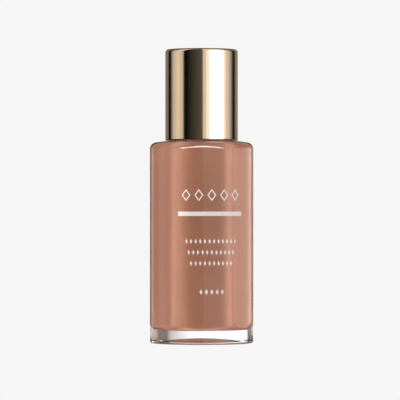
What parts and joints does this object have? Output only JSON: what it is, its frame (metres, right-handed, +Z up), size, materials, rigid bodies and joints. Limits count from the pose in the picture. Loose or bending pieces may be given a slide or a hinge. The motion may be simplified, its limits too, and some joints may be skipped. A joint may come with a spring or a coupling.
{
  "type": "foundation bottle",
  "caption": "Cylindrical heavy-based glass bottle of liquid foundation with a screw-on dispensing pump under a tall pull-off metal overcap.",
  "frame": {"origin": "centre of the foot, in the plane that the bottle stands on", "axes": "+Z up along the bottle's axis; the printed front and the nozzle face -Y; +X is to the right seen from the front"},
  "size_m": [0.038, 0.0381, 0.108],
  "materials": {
    "clear_glass": "clear polished flint glass",
    "foundation": "opaque beige cream liquid",
    "pale_foil": "pale hot-stamped foil",
    "gold_metal": "polished champagne-gold anodising",
    "white_plastic": "moulded white polypropylene",
    "natural_plastic": "natural translucent polypropylene",
    "soft_seal": "soft low-density polyethylene",
    "spring_steel": "drawn stainless wire",
    "ball_steel": "ground and polished steel"
  },
  "bodies": {
    "bottle": {"glass_bottle": "clear_glass", "foundation_fill": "foundation", "accent_bar": "pale_foil", "printed_lozenges": "pale_foil"},
    "pump": {"neck_gasket": "soft_seal", "pump_housing": "natural_plastic", "lock_ring": "natural_plastic", "stem_seal": "soft_seal", "main_spring": "spring_steel", "dip_tube": "natural_plastic"},
    "check_ball": {"inlet_ball": "ball_steel"},
    "plunger": {"stem": "white_plastic", "piston": "soft_seal", "stem_tip": "white_plastic"},
    "actuator": {"actuator_core": "white_plastic", "actuator_shell": "gold_metal", "nozzle_tip": "white_plastic"},
    "closure": {"screw_closure": "white_plastic", "collar_shell": "gold_metal"},
    "overcap": {"cap_liner": "white_plastic", "cap_shell": "gold_metal"}
  },
  "joints": [
    {"name": "pump_rise", "type": "slide", "parent": "bottle", "child": "pump", "axis": [0, 0, 1], "range_m": [0, 0.0048]},
    {"name": "closure_turn", "type": "hinge", "parent": "pump", "child": "closure", "pos_m": [0, 0, 0.08], "axis": [0, 0, 1], "range_deg": [0, 540]},
    {"name": "cap_lift", "type": "slide", "parent": "closure", "child": "overcap", "axis": [0, 0, 1], "range_m": [0, 0.04]},
    {"name": "actuator_press", "type": "slide", "parent": "pump", "child": "plunger", "axis": [0, 0, -1], "range_m": [0, 0.004], "stiffness_N_per_m": 1200, "springref_m": -0.003, "deforming": ["main_spring"]},
    {"name": "actuator_swivel", "type": "hinge", "parent": "plunger", "child": "actuator", "pos_m": [0, 0, 0.1], "axis": [0, 0, 1], "continuous": true},
    {"name": "ball_lift", "type": "slide", "parent": "pump", "child": "check_ball", "axis": [0, 0, 1], "range_m": [0, 0.0008]}
  ],
  "couplings": [
    {"joint": "pump_rise", "follows": "closure_turn", "m_per_rad": 0.00050611}
  ]
}
